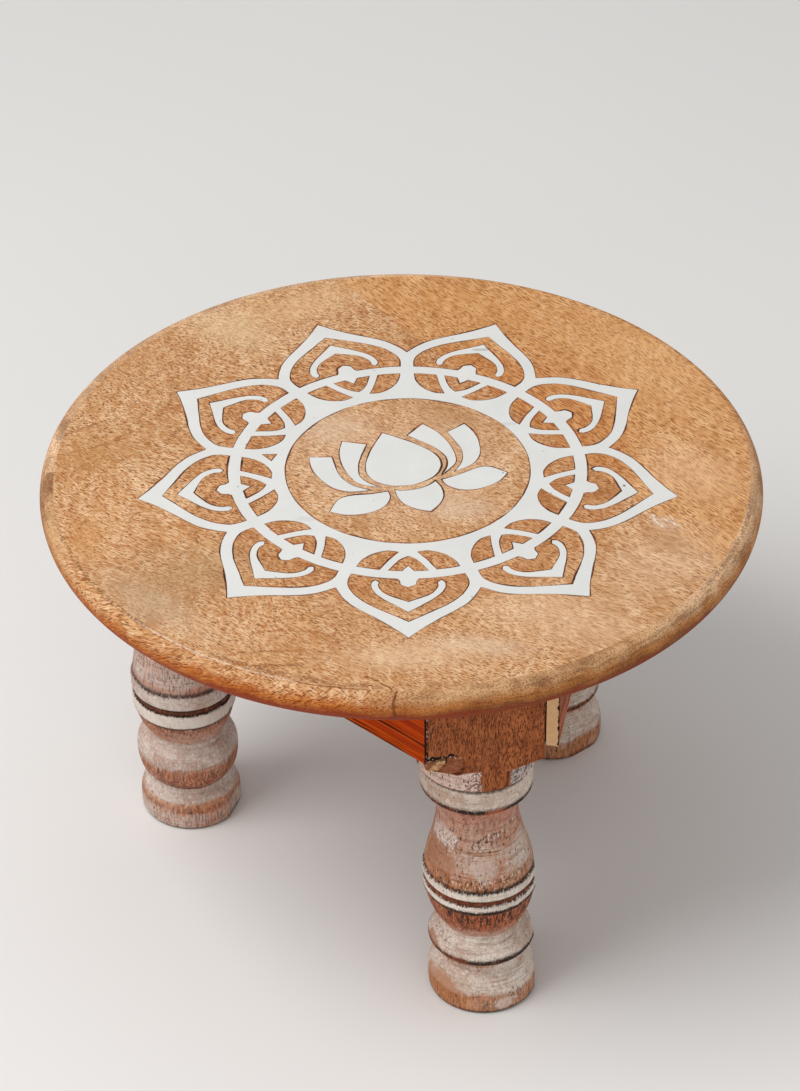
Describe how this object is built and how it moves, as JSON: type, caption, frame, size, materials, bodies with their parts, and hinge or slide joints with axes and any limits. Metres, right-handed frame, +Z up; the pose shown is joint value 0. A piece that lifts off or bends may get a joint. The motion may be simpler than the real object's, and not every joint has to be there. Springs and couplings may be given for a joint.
{
  "type": "bajot low table",
  "caption": "Round low bajot table: edge-glued wooden disc with flush white mandala and lotus inlay, on turned square-headed legs joined by thin apron rails.",
  "frame": {"origin": "on the floor under the centre of the round top", "axes": "+Z up through the disc; -Y is the side the picture is taken from, with +X to its right"},
  "size_m": [0.254, 0.254, 0.166],
  "materials": {
    "mango_top": "sanded mango wood with a thin clear coat, short dark pores and warm tan streaks",
    "white_filler": "matt off-white filler, flush with the wood, faintly scratched",
    "washed_leg": "brown wood under a worn whitewash, dark in the turned grooves",
    "stained_rail": "orange-brown stained plank with raw pale ends",
    "dowel_wood": "bare dowel"
  },
  "bodies": {
    "root": {"top_board_front": "mango_top", "top_board_middle": "mango_top", "top_board_back": "mango_top", "mandala_inlay": "white_filler", "chevron_inlay_1": "white_filler", "chevron_inlay_2": "white_filler", "chevron_inlay_3": "white_filler", "chevron_inlay_4": "white_filler", "chevron_inlay_5": "white_filler", "chevron_inlay_6": "white_filler", "chevron_inlay_7": "white_filler", "chevron_inlay_8": "white_filler", "chevron_inlay_9": "white_filler", "lotus_heart": "white_filler", "lotus_foot": "white_filler", "lotus_inner_petal_right": "white_filler", "lotus_inner_petal_left": "white_filler", "lotus_outer_petal_right": "white_filler", "lotus_outer_petal_left": "white_filler", "lotus_leaf_right": "white_filler", "lotus_leaf_left": "white_filler", "leg_1": "washed_leg", "leg_2": "washed_leg", "leg_3": "washed_leg", "leg_dowel_1": "dowel_wood", "leg_dowel_2": "dowel_wood", "leg_dowel_3": "dowel_wood", "apron_rail_1": "stained_rail", "apron_rail_2": "stained_rail", "apron_rail_3": "stained_rail"}
  },
  "joints": []
}
